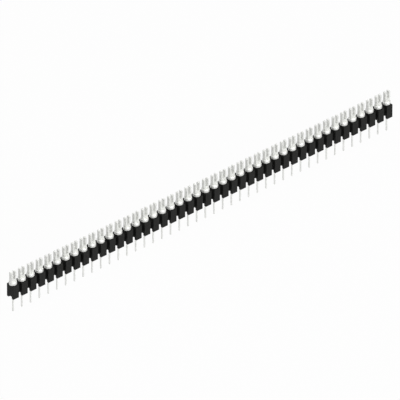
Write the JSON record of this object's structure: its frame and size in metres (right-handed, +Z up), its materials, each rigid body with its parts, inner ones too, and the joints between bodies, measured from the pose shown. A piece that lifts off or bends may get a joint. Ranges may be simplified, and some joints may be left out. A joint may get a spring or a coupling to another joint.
{
  "type": "pin header strip",
  "caption": "Single-row pin header strip: black break-off insulator with turned metal contacts, thin round tails below and forked heads above.",
  "frame": {"origin": "middle of the row, on the plane that the insulator's feet stand on", "axes": "+X along the row, +Z up towards the forked heads, tails point down"},
  "size_m": [0.111, 0.0022, 0.0108],
  "materials": {
    "insulator": "matt black moulded thermoplastic",
    "contact": "tin-plated turned brass, satin"
  },
  "bodies": {
    "root": {"insulator": "insulator", "contact_01": "contact", "contact_02": "contact", "contact_03": "contact", "contact_04": "contact", "contact_05": "contact", "contact_06": "contact", "contact_07": "contact", "contact_08": "contact", "contact_09": "contact", "contact_10": "contact", "contact_11": "contact", "contact_12": "contact", "contact_13": "contact", "contact_14": "contact", "contact_15": "contact", "contact_16": "contact", "contact_17": "contact", "contact_18": "contact", "contact_19": "contact", "contact_20": "contact", "contact_21": "contact", "contact_22": "contact", "contact_23": "contact", "contact_24": "contact", "contact_25": "contact", "contact_26": "contact", "contact_27": "contact", "contact_28": "contact", "contact_29": "contact", "contact_30": "contact", "contact_31": "contact", "contact_32": "contact", "contact_33": "contact", "contact_34": "contact", "contact_35": "contact", "contact_36": "contact", "contact_37": "contact", "contact_38": "contact", "contact_39": "contact", "contact_40": "contact", "contact_41": "contact", "contact_42": "contact", "contact_43": "contact", "contact_44": "contact"}
  },
  "joints": []
}
